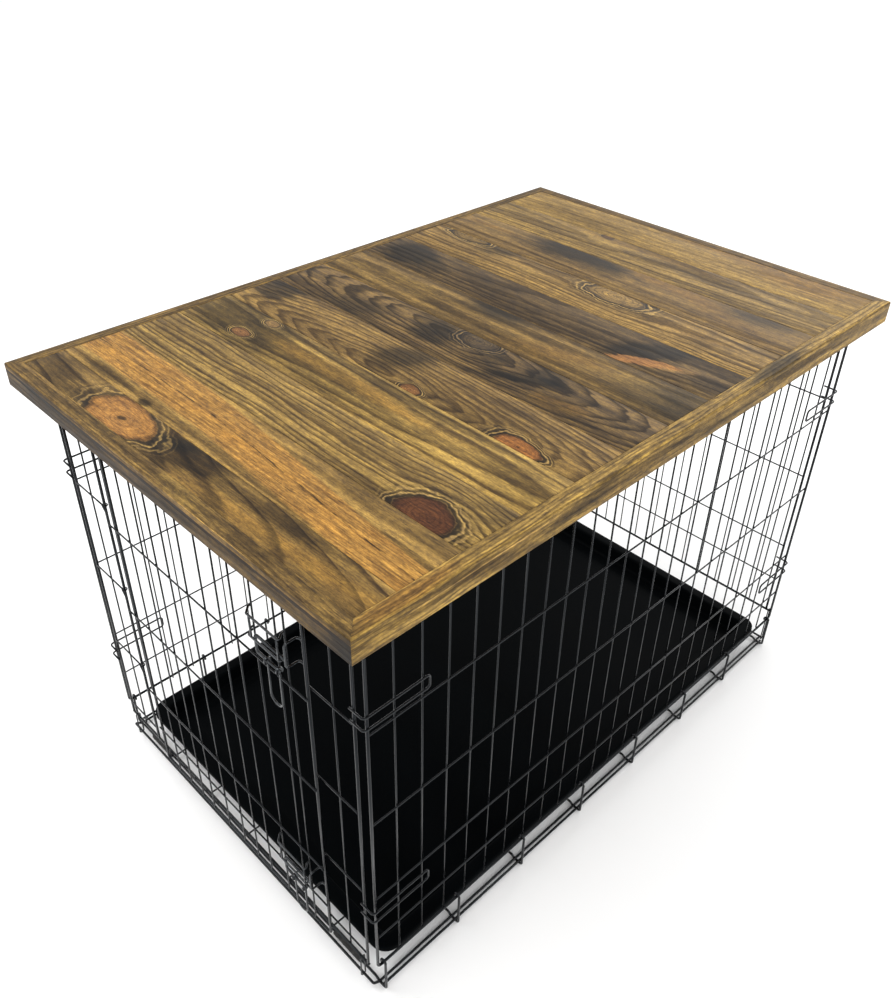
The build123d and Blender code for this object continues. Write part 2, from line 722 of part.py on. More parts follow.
with BuildPart() as drop_pan:
    extrude(pan_outline(pan_top - PAN_LIP_DROP, 0, PAN_CORNER_RADIUS), amount=PAN_LIP_DROP)
    extrude(
        pan_outline(pan_top - PAN_LIP_DROP, PAN_WALL, PAN_CORNER_RADIUS - PAN_WALL),
        amount=PAN_LIP_DROP - PAN_WALL,
        mode=Mode.SUBTRACT,
    )
    extrude(
        pan_outline(pan_top, PAN_RIM_WIDTH, PAN_CORNER_RADIUS), amount=-PAN_DEPTH, taper=PAN_DRAFT
    )
    extrude(
        pan_outline(pan_top, PAN_RIM_WIDTH + PAN_WALL, PAN_CORNER_RADIUS - PAN_WALL),
        amount=-(PAN_DEPTH - PAN_WALL),
        taper=PAN_DRAFT,
        mode=Mode.SUBTRACT,
    )
    extrude(
        pan_outline(pan_bottom + PAN_WALL, PAN_PANEL_INSET, PAN_CORNER_RADIUS),
        amount=PAN_PANEL_RISE,
    )
save(drop_pan, "drop_pan")

# ---------------------------------------------------------------- table top
inner_length = top_length - 2 * TRIM_WIDTH
inner_width = top_width - 2 * TRIM_WIDTH
full_plank = (inner_length - FIRST_PLANK) / (PLANK_COUNT - 1)
plank_start = -inner_length / 2
for number in range(1, PLANK_COUNT + 1):
    plank_width = FIRST_PLANK if number == 1 else full_plank
    plank_middle = plank_start + plank_width / 2
    with BuildPart() as plank:
        with BuildSketch(Plane.XY.offset(plank_bottom)):
            with Locations((0, plank_middle)):
                Rectangle(inner_width - BOARD_JOINT, plank_width - BOARD_JOINT)
        extrude(amount=PLANK_THICKNESS)
        top_edges = plank.faces().sort_by(Axis.Z)[-1].edges().filter_by(Axis.X)
        chamfer(top_edges, PLANK_ROUND)
    save(plank, f"plank_{number:02d}")
    plank_start += plank_width


for trim_name, trim_length, turn, offset_y in (
    ("front", top_width, 0, top_length / 2),
    ("right", top_length, 90, top_width / 2),
    ("rear", top_width, 180, top_length / 2),
    ("left", top_length, 270, top_width / 2),
):
    with BuildPart() as trim:
        with BuildSketch(Plane.XY.offset(trim_bottom)):
            with Locations((0, -offset_y + TRIM_WIDTH / 2)):
                Trapezoid(trim_length - BOARD_JOINT, TRIM_WIDTH, 45)
        extrude(amount=TRIM_HEIGHT)
        outer_face = trim.faces().sort_by(Axis.Y)[0]
        fillet(outer_face.edges().filter_by(Axis.X), EDGE_ROUND)
        turned = trim.part.rotate(Axis.Z, turn)
    turned.label = f"{trim_name}_trim"
    export_step(turned, f"parts/{trim_name}_trim.step")
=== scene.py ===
"""Folding wire dog crate with a framed plank table top: the look of its pieces.

Metres, in the crate's own frame: X across, Y along with the door end at -Y, Z up. The stains
work in millimetres.
"""

import json
import math

import bmesh
import bpy
import numpy as np
from mathutils import Matrix, Vector


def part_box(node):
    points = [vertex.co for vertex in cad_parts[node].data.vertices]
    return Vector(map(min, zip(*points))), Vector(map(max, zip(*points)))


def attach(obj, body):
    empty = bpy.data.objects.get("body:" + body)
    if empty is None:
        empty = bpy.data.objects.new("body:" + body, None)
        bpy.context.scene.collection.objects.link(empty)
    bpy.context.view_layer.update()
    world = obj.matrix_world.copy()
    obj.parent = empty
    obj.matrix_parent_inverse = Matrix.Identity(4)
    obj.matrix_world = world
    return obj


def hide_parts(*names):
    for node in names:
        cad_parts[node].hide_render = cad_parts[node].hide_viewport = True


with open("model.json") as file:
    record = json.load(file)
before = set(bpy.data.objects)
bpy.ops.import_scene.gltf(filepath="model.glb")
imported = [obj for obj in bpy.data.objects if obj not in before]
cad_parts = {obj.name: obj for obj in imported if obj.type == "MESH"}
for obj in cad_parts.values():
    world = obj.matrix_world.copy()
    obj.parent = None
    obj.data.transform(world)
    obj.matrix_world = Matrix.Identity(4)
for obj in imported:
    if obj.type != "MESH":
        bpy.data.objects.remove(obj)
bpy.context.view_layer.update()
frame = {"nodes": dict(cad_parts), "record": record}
body_of_node = {
    node: body
    for body, members in frame["record"]["behaviour"]["bodies"].items()
    for node in members
}

bl_info = {
    "name": "Wire Crate With Plank Top",
    "version": (1, 0, 0),
    "blender": (4, 5, 0),
    "location": "3D View > Sidebar > Crate",
    "description": "Builds the boards, pan, wire finish and stage of a wire dog crate",
    "category": "Add Mesh",
}

TOP_HEIGHT = 766.7          # millimetres from the ground to the faces of the boards
THICKEST_WIRE = 0.006       # metres: a wider run of points is a bent wire, not a straight one
PAD_LENGTH = 0.064
PAD_REACH = 0.265           # from the crate's middle to the middle of a pad
WELD_FLATNESS = 0.55        # a weld's thickness through its panel over its width
WOOD_SHINE = 0.12
PLASTIC_SHINE = 0.02
RUBBER_SHINE = 0.5

# Each light: its name, place, size and power. All of them point at the crate's middle.
LIGHTS = (
    ("key_light", (-1.6, -1.2, 3.2), 2.2, 48.0),
    ("fill_light", (2.6, -1.6, 2.2), 2.4, 24.0),
    ("back_light", (-0.4, 3.0, 2.6), 2.4, 36.0),
)
CRATE_MIDDLE = Vector((0.0, 0.0, 0.45))
SKY_STRENGTH = 1.05
FLOOR_REACH, FLOOR_LEVEL = 14, -0.0004
PAPER_ROUGHNESS = 0.9
CAMERA_PLACE = (0.92323, -0.98672, 1.42787)
CAMERA_TURN = (-44.95, -35.95, 1.24)        # yaw, pitch and roll in degrees
CAMERA_LENS, CAMERA_SENSOR = 35.03, 36.0    # millimetres
CAMERA_SHIFT = (-0.0016, -0.0013)


def tint(red, green, blue):
    """Turn a colour as seen on a screen, 0 to 255, into the linear values that shaders use."""
    seen = np.array([red, green, blue]) / 255.0
    linear = np.where(seen <= 0.04045, seen / 12.92, ((seen + 0.055) / 1.055) ** 2.4)
    return (*linear.tolist(), 1.0)


def grey(level):
    return (level, level, level, 1.0)


def lighter(colour, times):
    """The same colour, so many times as light."""
    return (*(part * times for part in colour[:3]), 1.0)


# ------------------------------------------------------------------ stain colours
TAN = tint(146, 119, 70)
YELLOW = tint(162, 135, 78)
OLIVE = tint(116, 94, 56)
UMBER = tint(60, 45, 28)
WALNUT = tint(38, 28, 18)
SMOKE = tint(46, 42, 34)
INK = tint(27, 24, 20)
HONEY = tint(152, 112, 62)
AMBER = tint(160, 118, 60)
ROSE = tint(88, 54, 33)
CREAM = tint(190, 160, 104)
SALMON = tint(172, 124, 74)


# ------------------------------------------------------------------ mesh making
# A shape is its points and its face sets, which are arrays of faces x corners.
def place(mesh, material, body, sharp):
    """Put a mesh on the crate as a piece that rides on its body.

    It is smooth but for edges that turn by more than 'sharp' degrees.
    """
    mesh.materials.clear()
    mesh.materials.append(material)
    mesh.shade_smooth()
    mesh.set_sharp_from_angle(angle=math.radians(sharp))
    piece = bpy.data.objects.new(mesh.name, mesh)
    bpy.context.scene.collection.objects.link(piece)
    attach(piece, body)
    return piece


def place_mesh(name, points, face_sets, material, body, sharp=38.0):
    """Make a piece of the crate from a shape."""
    faces = [face for face_set in face_sets for face in face_set.tolist()]
    mesh = bpy.data.meshes.new(name)
    mesh.from_pydata(points.tolist(), [], faces)
    mesh.validate()
    mesh.update()
    return place(mesh, material, body, sharp)


def repeated(points, face_sets, places):
    """One shape moved to each place, all copies as one shape."""
    shift = np.arange(len(places))[:, None, None] * len(points)
    moved = (places[:, None] + points[None]).reshape(-1, 3)
    return moved, [(faces[None] + shift).reshape(-1, faces.shape[1]) for faces in face_sets]


def ring_points(rings, sides):
    """The numbers of the points of stacked rings, and of each one's neighbour in its ring."""
    own = np.arange(rings * sides).reshape(rings, sides)
    return own, np.roll(own, -1, axis=1)


def ring_faces(own, beside):
    """Quads that join each ring to the next."""
    return np.stack([own[:-1], beside[:-1], beside[1:], own[1:]], axis=-1).reshape(-1, 4)


def skin(rings, flip=False):
    """Close a stack of rings, an array of rings x sides x 3, with a flat face at each end."""
    own, beside = ring_points(*rings.shape[:2])
    face_sets = [ring_faces(own, beside), np.stack([own[0][::-1], own[-1]])]
    if flip:
        face_sets = [faces[:, ::-1] for faces in face_sets]
    return rings.reshape(-1, 3), face_sets


def round_corners(steps):
    """Directions round a rectangle's four corners, anticlockwise, and each corner's signs."""
    quarter = np.linspace(0, math.pi / 2, steps)
    turns = np.concatenate([quarter + i * math.pi / 2 for i in range(4)])
    signs = np.repeat([[1, 1], [-1, 1], [-1, -1], [1, -1]], steps, axis=0)
    return np.stack([np.cos(turns), np.sin(turns)], axis=1), signs


def corners_of(node):
    """The low and the high corner of a node's box."""
    return [np.array(corner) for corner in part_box(node)]


def plain_board(low, high, arris, crown, along=24):
    """A plank: its rounded section carried along X, drawn in at both ends by a quarter circle.

    The section at inset i keeps its corner centres and has corners of radius arris - i, so the
    ends are eased as the long edges are. The top falls by crown x t^2, t being the distance
    from the plank's middle line over half its width.
    """
    half_y, half_z = (high[1:] - low[1:]) / 2
    ease = np.linspace(0, math.pi / 2, 5)
    inset = arris * (1 - np.sin(ease))
    start = low[0] + arris * (1 - np.cos(ease))
    inner = np.linspace(low[0] + arris, high[0] - arris, along)[1:-1]
    stations = np.concatenate([start, inner, (low[0] + high[0] - start)[::-1]])
    insets = np.concatenate([inset, np.zeros(len(inner)), inset[::-1]])
    direction, signs = round_corners(5)
    centres = signs * [half_y - arris, half_z - arris]
    section = centres[None] + (arris - insets)[:, None, None] * direction[None]
    across = section[..., 0] / half_y
    section[..., 1] -= np.where(section[..., 1] > 0, crown * across**2, 0.0)
    rings = np.empty((*section.shape[:2], 3))
    rings[..., 0] = stations[:, None]
    rings[..., 1:] = section + (low[1:] + high[1:]) / 2
    return skin(rings, flip=True)


def mitred_board(low, high, axis, edge):
    """A board whose section is carried lengthways, each point as far as its own mitre.

    At depth d behind the outer face the board reaches half its length less d, so both ends are
    cut at 45 degrees. The outer corners have the radius 'edge' and the inner ones a fifth of it.
    """
    across = 1 - axis
    outward = 1.0 if low[across] + high[across] > 0 else -1.0
    outer = high[across] if outward > 0 else low[across]
    half = (high - low) / 2
    middle = (high + low) / 2
    direction, signs = round_corners(6)
    radius = np.where(signs[:, 0] > 0, edge, edge / 5)[:, None]
    section = signs * ([half[across], half[2]] - radius) + radius * direction
    depth = half[across] - section[:, 0]
    stretch = np.concatenate([[-1.0], np.linspace(-0.96, 0.96, 25), [1.0]])
    rings = np.empty((len(stretch), len(section), 3))
    rings[..., axis] = middle[axis] + stretch[:, None] * (half[axis] - depth)[None]
    rings[..., across] = outer - outward * depth[None]
    rings[..., 2] = middle[2] + section[:, 1][None]
    return skin(rings, flip=(outward > 0) == (axis == 0))


def outline(start, *moves):
    """A line of (inset, height) points. Each move is (way, points between, end).

    A move that leaves "level" or "up" follows a quarter ellipse, and a "straight" one a slope.
    """
    points = [start]
    for way, between, end in moves:
        t = np.linspace(0, math.pi / 2, between + 2)[1:-1]
        soon, late = np.sin(t), 1 - np.cos(t)
        shares = {"level": (soon, late), "up": (late, soon), "straight": (soon, soon)}[way]
        here, there = np.array(points[-1]), np.array(end)
        points += (here + (there - here) * np.stack(shares, axis=1)).tolist()
        points.append(end)
    return points


def pan_skin(low, high, wall):
    """Rings of a rounded rectangle, one for each point of the pan's section.

    The section is a list of (inset, height) pairs: raised field, floor, rounded foot, drafted
    wall, rounded rim, lip, and back underneath at the wall's thickness. A ring at inset i is the
    outline drawn in by i, its corner radius the outline's less i but not under a least one.
    """
    bottom, top = low[2], high[2]
    rim, draft, lip, foot = 0.020, 0.0072, 0.0090, 0.006
    field, swage_top, swage_foot, swage_rise = 0.115, 0.058, 0.052, 0.0012
    ease, under_ease, nip = 0.0035, 0.002, 0.003
    foot_lean, wall_lean, rim_lean = 0.001, 0.0012, 0.0015
    corner, least_corner = 0.028, 0.012
    floor_top = bottom + wall
    wall_foot = rim + wall + draft
    inside = outline(
        (field, floor_top + swage_rise),
        ("straight", 0, (swage_top, floor_top + swage_rise)),
        ("straight", 2, (swage_foot, floor_top)),
        ("straight", 0, (wall_foot + foot, floor_top)),
        ("level", 3, (wall_foot - foot_lean, floor_top + foot)),
        ("straight", 0, (rim + wall + wall_lean, top - ease)),
        ("up", 3, (rim - rim_lean, top)),
        ("straight", 0, (ease, top)),
        ("level", 3, (0.0, top - ease)),
        ("straight", 0, (0.0, top - lip)),
        ("straight", 0, (wall * 0.5, top - lip)),
    )
    under = outline(
        (wall, top - lip),
        ("straight", 0, (wall, top - wall - under_ease)),
        ("up", 2, (wall + under_ease, top - wall)),
        ("straight", 0, (rim - nip, top - wall)),
        ("straight", 0, (rim, top - wall - nip)),
        ("straight", 0, (wall_foot - wall - foot_lean, bottom + foot)),
        ("up", 3, (wall_foot + foot, bottom)),
        ("straight", 0, (field, bottom)),
    )
    section = np.array(inside + under)
    half = (high[:2] - low[:2]) / 2
    centre = (high[:2] + low[:2]) / 2
    direction, signs = round_corners(9)
    inset = section[:, :1, None]
    radius = np.maximum(corner - inset, least_corner)
    rings = np.empty((len(section), len(signs), 3))
    rings[..., :2] = centre + signs * (half - inset - radius) + radius * direction
    rings[..., 2] = section[:, 1][:, None]
    return skin(rings, flip=True)


def sleeve(radius, length):
    """A grooved sleeve round the X axis: circles whose radius changes along it.

    At share t of the length the radius is less by groove x (1 - cos 16 pi t) / 2, for eight
    shallow grooves, and each end is drawn in by a quarter circle of radius 'end'.
    """
    groove, end, sides = 0.00035, 0.0012, 24
    share = np.linspace(0, 1, 33)
    waves = groove * (0.5 - 0.5 * np.cos(share * math.tau * 8))
    near_end = np.clip(np.minimum(share, 1 - share) * length / end, 0, 1)
    round_off = end * (1 - np.sqrt(1 - (1 - near_end) ** 2))
    profile = (radius - waves - round_off)[:, None]
    angle = np.arange(sides) * math.tau / sides
    rings = np.empty((len(share), sides, 3))
    rings[..., 0] = ((share - 0.5) * length)[:, None]
    rings[..., 1] = profile * np.cos(angle)
    rings[..., 2] = profile * np.sin(angle)
    return skin(rings)


def bead(half):
    """A weld bead, a squashed ball: (sin v cos u, sin v sin u, cos v) times its half sizes.

    Its poles are one point each.
    """
    sides, rows = 8, 4
    u = np.arange(sides) * math.tau / sides
    v = np.arange(1, rows)[:, None] * math.pi / rows
    belt = np.stack([np.sin(v) * np.cos(u), np.sin(v) * np.sin(u), np.cos(v) + 0 * u], axis=-1)
    points = np.concatenate([belt.reshape(-1, 3), [[0, 0, 1], [0, 0, -1]]])
    own, beside = ring_points(rows - 1, sides)
    pole = np.full(sides, own.size)
    top = np.stack([own[0], beside[0], pole], axis=1)
    base = np.stack([beside[-1], own[-1], pole + 1], axis=1)
    return points * half, [ring_faces(own, beside)[:, ::-1], top, base]


def wire_centres(node, axis, gap=0.0008):
    """Middles of a node's wires along one axis: its points sorted, split where they part."""
    mesh = frame["nodes"][node].data
    points = np.empty(len(mesh.vertices) * 3)
    mesh.vertices.foreach_get("co", points)
    values = np.unique(np.round(points.reshape(-1, 3)[:, axis], 6))
    runs = np.split(values, np.where(np.diff(values) > gap)[0] + 1)
    return np.array([(run[0] + run[-1]) / 2 for run in runs if run[-1] - run[0] < THICKEST_WIRE])


def crossings(first, second, axes, level):
    """Every meeting of two sets of wires: first along axes[0], second along axes[1]."""
    a, b = np.meshgrid(first, second, indexing="ij")
    points = np.full((a.size, 3), level)
    points[:, axes[0]] = a.ravel()
    points[:, axes[1]] = b.ravel()
    return points


# ------------------------------------------------------------------ node making
class Tree:
    """Adds nodes to a tree. A plain number or colour goes on the socket itself."""

    def __init__(self, owner):
        self.nodes = owner.nodes
        self.links = owner.links

    def put(self, socket, value):
        if isinstance(value, bpy.types.NodeSocket):
            self.links.new(value, socket)
        else:
            socket.default_value = value

    def node(self, kind, *values, **choices):
        """A node with its choices made and its first sockets filled."""
        node = self.nodes.new(kind)
        for name, choice in choices.items():
            setattr(node, name, choice)
        for socket, value in zip(node.inputs, values):
            self.put(socket, value)
        return node

    def fill(self, node, **values):
        """Fill a node's sockets by their names. Returns its first output."""
        for name, value in values.items():
            self.put(node.inputs[name], value)
        return node.outputs[0]

    def math(self, operation, *values, clamp=False):
        return self.node("ShaderNodeMath", *values, operation=operation, use_clamp=clamp).outputs[0]

    def less(self, first, second):
        return self.math("SUBTRACT", first, second)

    def over(self, first, second):
        return self.math("DIVIDE", first, second)

    def total(self, *values):
        result = values[0]
        for value in values[1:]:
            result = self.math("ADD", result, value)
        return result

    def times(self, *values):
        result = values[0]
        for value in values[1:]:
            result = self.math("MULTIPLY", result, value)
        return result

    def distance(self, x, y):
        return self.math("SQRT", self.total(self.times(x, x), self.times(y, y)))

    def sway(self, noise, width):
        """A noise of 0 to 1 as a shift of up to half the width either way."""
        return self.times(self.less(noise, 0.5), width)

    def between(self, value, low, high, to_low=0.0, to_high=1.0, kind="SMOOTHSTEP"):
        """Map low..high to to_low..to_high: eased at both ends, or straight if it's LINEAR."""
        values = (value, low, high, to_low, to_high)
        node = self.node("ShaderNodeMapRange", *values, interpolation_type=kind, clamp=True)
        return node.outputs[0]

    def band(self, value, start, full, fade, end):
        """Rise to 1 from start to full, and fall back to 0 from fade to end."""
        return self.times(self.between(value, start, full), self.between(value, end, fade))

    def mix(self, factor, first, second, blend="MIX"):
        node = self.node("ShaderNodeMix", data_type="RGBA", blend_type=blend, clamp_factor=True)
        self.put(node.inputs[0], factor)
        self.put(node.inputs[6], first)
        self.put(node.inputs[7], second)
        return node.outputs[2]

    def wash(self, colour, stain, value, low, high, strength=1.0):
        """Stain a colour more and more as the value passes from low to high."""
        return self.mix(self.times(self.between(value, low, high), strength), colour, stain)

    def vector(self, x, y, z):
        return self.node("ShaderNodeCombineXYZ", x, y, z).outputs[0]

    def noise(self, vector, scale, detail=3.0, roughness=0.55):
        node = self.node("ShaderNodeTexNoise")
        return self.fill(node, Vector=vector, Scale=scale, Detail=detail, Roughness=roughness)

    def grain(self, along, across, other, stretch, *look):
        """Noise drawn out along the wood: the smaller the stretch, the longer its streaks."""
        return self.noise(self.vector(self.times(along, stretch), across, other), *look)

    def bump(self, height, strength, distance):
        node = self.node("ShaderNodeBump")
        return self.fill(node, Strength=strength, Distance=distance, Height=height)

    def call(self, make, *values):
        """The result of a shared node group, which its function makes on first use."""
        name = make.__name__
        if name not in bpy.data.node_groups:
            make(name)
        group = bpy.data.node_groups[name]
        return self.node("ShaderNodeGroup", *values, node_tree=group).outputs[0]


def new_material(name):
    """An empty material with its shader: returns material, tree and shader node."""
    material = bpy.data.materials.new(name)
    material.use_nodes = True
    return material, Tree(material.node_tree), material.node_tree.nodes["Principled BSDF"]


def coat(tree, shader, colour, roughness, normal, shine):
    """Put a finish on a shader."""
    tree.put(shader.inputs["Base Color"], colour)
    tree.put(shader.inputs["Roughness"], roughness)
    tree.put(shader.inputs["Normal"], normal)
    shader.inputs["Specular IOR Level"].default_value = shine


def object_point(tree):
    """The point on the crate in millimetres."""
    coordinates = tree.node("ShaderNodeTexCoord")
    scaled = tree.node("ShaderNodeVectorMath", coordinates.outputs["Object"], operation="SCALE")
    return tree.fill(scaled, Scale=1000.0)


def object_axes(tree):
    """The point on the crate in millimetres, as X, Y and Z sockets."""
    return tree.node("ShaderNodeSeparateXYZ", object_point(tree)).outputs[:]


# ------------------------------------------------------------------ wood
OVAL = ("Along", "Across", "Oval Along", "Oval Across", "Half Length", "Half Width")


def group_with(name, numbers, colours=()):
    """An empty node group: returns its tree, its sockets for what comes in, and its result.

    The result is a colour if colours come in, and else a number.
    """
    group = bpy.data.node_groups.new(name, "ShaderNodeTree")
    kinds = ["NodeSocketFloat"] * len(numbers) + ["NodeSocketColor"] * len(colours)
    for label, kind in zip((*numbers, *colours), kinds):
        group.interface.new_socket(label, in_out="INPUT", socket_type=kind)
    group.interface.new_socket("Result", in_out="OUTPUT", socket_type=kinds[-1])
    tree = Tree(group)
    given = tree.node("NodeGroupInput").outputs[: len(kinds)]
    return tree, given, tree.node("NodeGroupOutput").inputs[0]


def grain_round_knot(name):
    """Grain turning round a knot: across is drawn towards the knot by a bell, so lines spread."""
    tree, given, result = group_with(name, OVAL)
    along, across, knot_along, knot_across, half_length, half_width = given
    offset = tree.less(across, knot_across)
    length = tree.over(tree.less(along, knot_along), tree.times(half_length, 1.7))
    width = tree.over(offset, tree.times(half_width, 1.9))
    squared = tree.total(tree.times(length, length), tree.times(width, width))
    bell = tree.math("EXPONENT", tree.times(squared, -1.0))
    tree.put(result, tree.less(across, tree.times(offset, bell, 0.86)))


def knot_in_board(name):
    """A knot: growth rings by distance from its heart, a dark rim, and a halo round it.

    The halo is ink between pale rings, which fade out at 1.8 times the knot's own size.
    """
    tree, given, result = group_with(name, (*OVAL, "Taper", "Halo"), ("Knot", "Ring", "Wood"))
    along, across, knot_along, knot_across, half_length, half_width = given[:6]
    taper, halo, knot, ring, wood = given[6:]
    length = tree.over(tree.less(along, knot_along), half_length)
    narrowing = tree.math("MAXIMUM", tree.less(1.0, tree.times(taper, length)), 0.25)
    width = tree.over(tree.less(across, knot_across), tree.times(half_width, narrowing))
    wobble = tree.noise(tree.vector(along, across, knot_along), 0.05, 2.0)
    fine = tree.noise(tree.vector(along, across, 3.0), 0.45, 3.0)
    distance = tree.total(tree.distance(length, width), tree.sway(wobble, 0.42))

    phase = tree.math("FRACT", tree.total(tree.times(distance, 5.0), tree.times(fine, 0.3)))
    body = tree.wash(knot, ring, phase, 0.55, 0.95, 0.65)
    body = tree.wash(body, ring, distance, 0.35, 0.95, 0.35)
    body = tree.wash(body, ring, fine, 0.5, 0.72, 0.5)
    body = tree.wash(body, WALNUT, distance, 0.12, 0.02, 0.85)

    swirl = tree.math("FRACT", tree.total(tree.times(distance, 4.5), tree.times(wobble, 0.8)))
    ink = tree.times(tree.between(distance, 1.85, 1.0), tree.between(swirl, 0.9, 0.35, 0.45, 1.0))
    shade = tree.mix(tree.times(ink, halo), wood, INK)
    crest = tree.band(swirl, 0.42, 0.74, 0.82, 1.0)
    crest = tree.times(crest, tree.between(distance, 1.8, 1.15), halo, 0.6)
    shade = tree.mix(crest, shade, CREAM)
    colour = tree.wash(shade, body, distance, 1.04, 0.96)
    rim = tree.band(distance, 0.82, 0.97, 1.02, 1.16)
    tree.put(result, tree.mix(tree.times(rim, 0.6), colour, WALNUT))


def stain_patch(name):
    """A soft oval of another stain, turned in the board, its edge broken along the grain.

    Up to a strength of 1 the wood shows through; from 1 to 2 it is covered more and more.
    """
    numbers = (*OVAL, "Turn", "Softness", "Strength")
    tree, given, result = group_with(name, numbers, ("Stain", "Wood"))
    along, across, patch_along, patch_across, half_length, half_width = given[:6]
    turn, softness, strength, stain, wood = given[6:]
    x = tree.less(along, patch_along)
    y = tree.less(across, patch_across)
    cosine, sine = tree.math("COSINE", turn), tree.math("SINE", turn)
    length = tree.over(tree.total(tree.times(x, cosine), tree.times(y, sine)), half_length)
    width = tree.over(tree.less(tree.times(y, cosine), tree.times(x, sine)), half_width)
    broken = tree.grain(along, across, patch_along, 0.16, 0.06, 4.0, 0.65)
    torn = tree.grain(along, across, patch_across, 0.035, 0.45, 3.0, 0.6)
    edge = tree.total(tree.distance(length, width), tree.sway(broken, 1.5), tree.sway(torn, 0.9))
    inside = tree.between(edge, tree.total(1.0, softness), tree.less(1.0, softness))
    grained = tree.mix(0.5, stain, tree.mix(0.75, wood, stain, "MULTIPLY"))
    grained = tree.mix(0.5, grained, tree.mix(1.0, stain, wood, "OVERLAY"))
    grained = tree.mix(tree.math("SUBTRACT", strength, 1.0, clamp=True), grained, stain)
    tree.put(result, tree.mix(tree.times(inside, strength), wood, grained))


def late_wood(tree, board, along, across, seed):
    """How far each point is into the late wood of its growth ring, 0 to 1.

    The ring number is the distance from a heart line under the board over the ring spacing,
    wandering with slow noises and bent round the board's knots. Within a ring the wood darkens
    slowly and clears at once.
    """
    bent = across
    for knot in board["knots"]:
        bent = tree.call(grain_round_knot, along, bent, *knot[:4])
    middle, depth, drift, spacing = board["rings"]
    slow = tree.grain(along, across, seed, 0.22, 0.016, 2.0, 0.5)
    side = tree.total(bent, -middle, tree.sway(slow, 34.0))
    below = tree.total(tree.times(along, drift), depth)
    radius = tree.distance(side, below)
    uneven = tree.noise(tree.vector(tree.times(radius, 0.09), seed, 0.0), 1.0, 2.0, 0.6)
    shiver = tree.grain(along, across, seed, 0.12, 0.10, 2.0, 0.5)
    number = tree.total(
        tree.over(radius, spacing), tree.times(uneven, 1.6), tree.times(shiver, board["wander"])
    )
    return tree.band(tree.math("FRACT", number), 0.28, 0.84, 0.86, 1.0)


def stained_wood(name, board, gloss):
    """Stained pine: growth rings, patches of stain, knots, and noise stretched along the grain.

    A board with a fold is grained as a sheet turned down over its outer edge, so that the
    grain of its top runs on into its outer face.
    """
    material, tree, shader = new_material(name)
    axes = object_axes(tree)
    along, across, up = axes[board["axis"]], axes[1 - board["axis"]], axes[2]
    seed = float(sum(map(ord, name)) % 97) * 3.7    # each board's own place in the noises
    if board["fold"]:
        across = tree.total(across, tree.times(tree.less(TOP_HEIGHT, up), board["fold"]))
    late = late_wood(tree, board, along, across, seed)
    fibre = tree.grain(along, across, seed, 0.05, 0.60, 4.0, 0.68)
    pores = tree.grain(along, across, tree.times(up, 0.5), 0.26, 0.75, 4.0, 0.75)
    mottle = tree.grain(along, across, seed + 7.0, 0.55, 0.12, 4.0, 0.66)
    blotch = tree.grain(along, across, seed + 11.0, 0.30, 0.014, 4.0, 0.6)
    streak = tree.grain(along, across, seed + 5.0, 0.04, 0.07, 3.0, 0.6)
    ripple = tree.grain(along, across, seed + 3.0, 0.10, 0.22, 3.0, 0.6)

    light, dark = board["light"], board["dark"]
    early = tree.wash(light, tree.mix(0.62, light, dark), streak, 0.38, 0.66)
    colour = tree.mix(tree.times(late, board["show"]), early, dark)
    colour = tree.wash(colour, WALNUT, blotch, 0.50, 0.74, board["blotch"])
    colour = tree.wash(colour, YELLOW, blotch, 0.46, 0.26, 0.30)
    for *numbers, stain in board["patches"]:
        colour = tree.call(stain_patch, along, across, *numbers, stain, colour)
    if board["heartwood"]:
        colour = board["heartwood"](tree, along, across, colour)
    for *numbers, knot, ring in board["knots"]:
        colour = tree.call(knot_in_board, along, across, *numbers, knot, ring, colour)
    colour = tree.wash(colour, WALNUT, fibre, 0.56, 0.72, 0.45)

    swing = board["mottle"]
    gain = tree.times(
        tree.between(fibre, 0.32, 0.68, 0.58, 1.50, "LINEAR"),
        tree.between(ripple, 0.30, 0.70, 0.74, 1.28, "LINEAR"),
        tree.between(pores, 0.30, 0.70, 1.5, 0.55, "LINEAR"),
        tree.between(mottle, 0.32, 0.68, 1.0 - swing, 1.0 + swing),
        board["tone"],
    )
    warm = tree.vector(tree.times(gain, 1.07), gain, tree.total(tree.times(gain, 0.56), 0.26))
    rough = tree.total(gloss, tree.times(late, 0.08), tree.sway(fibre, 0.22))
    height = tree.total(tree.times(fibre, 0.6), tree.times(late, 0.5), tree.times(pores, -0.4))
    colour = tree.mix(1.0, colour, warm, "MULTIPLY")
    coat(tree, shader, colour, rough, tree.bump(height, 0.32, 0.0006), WOOD_SHINE)
    return material


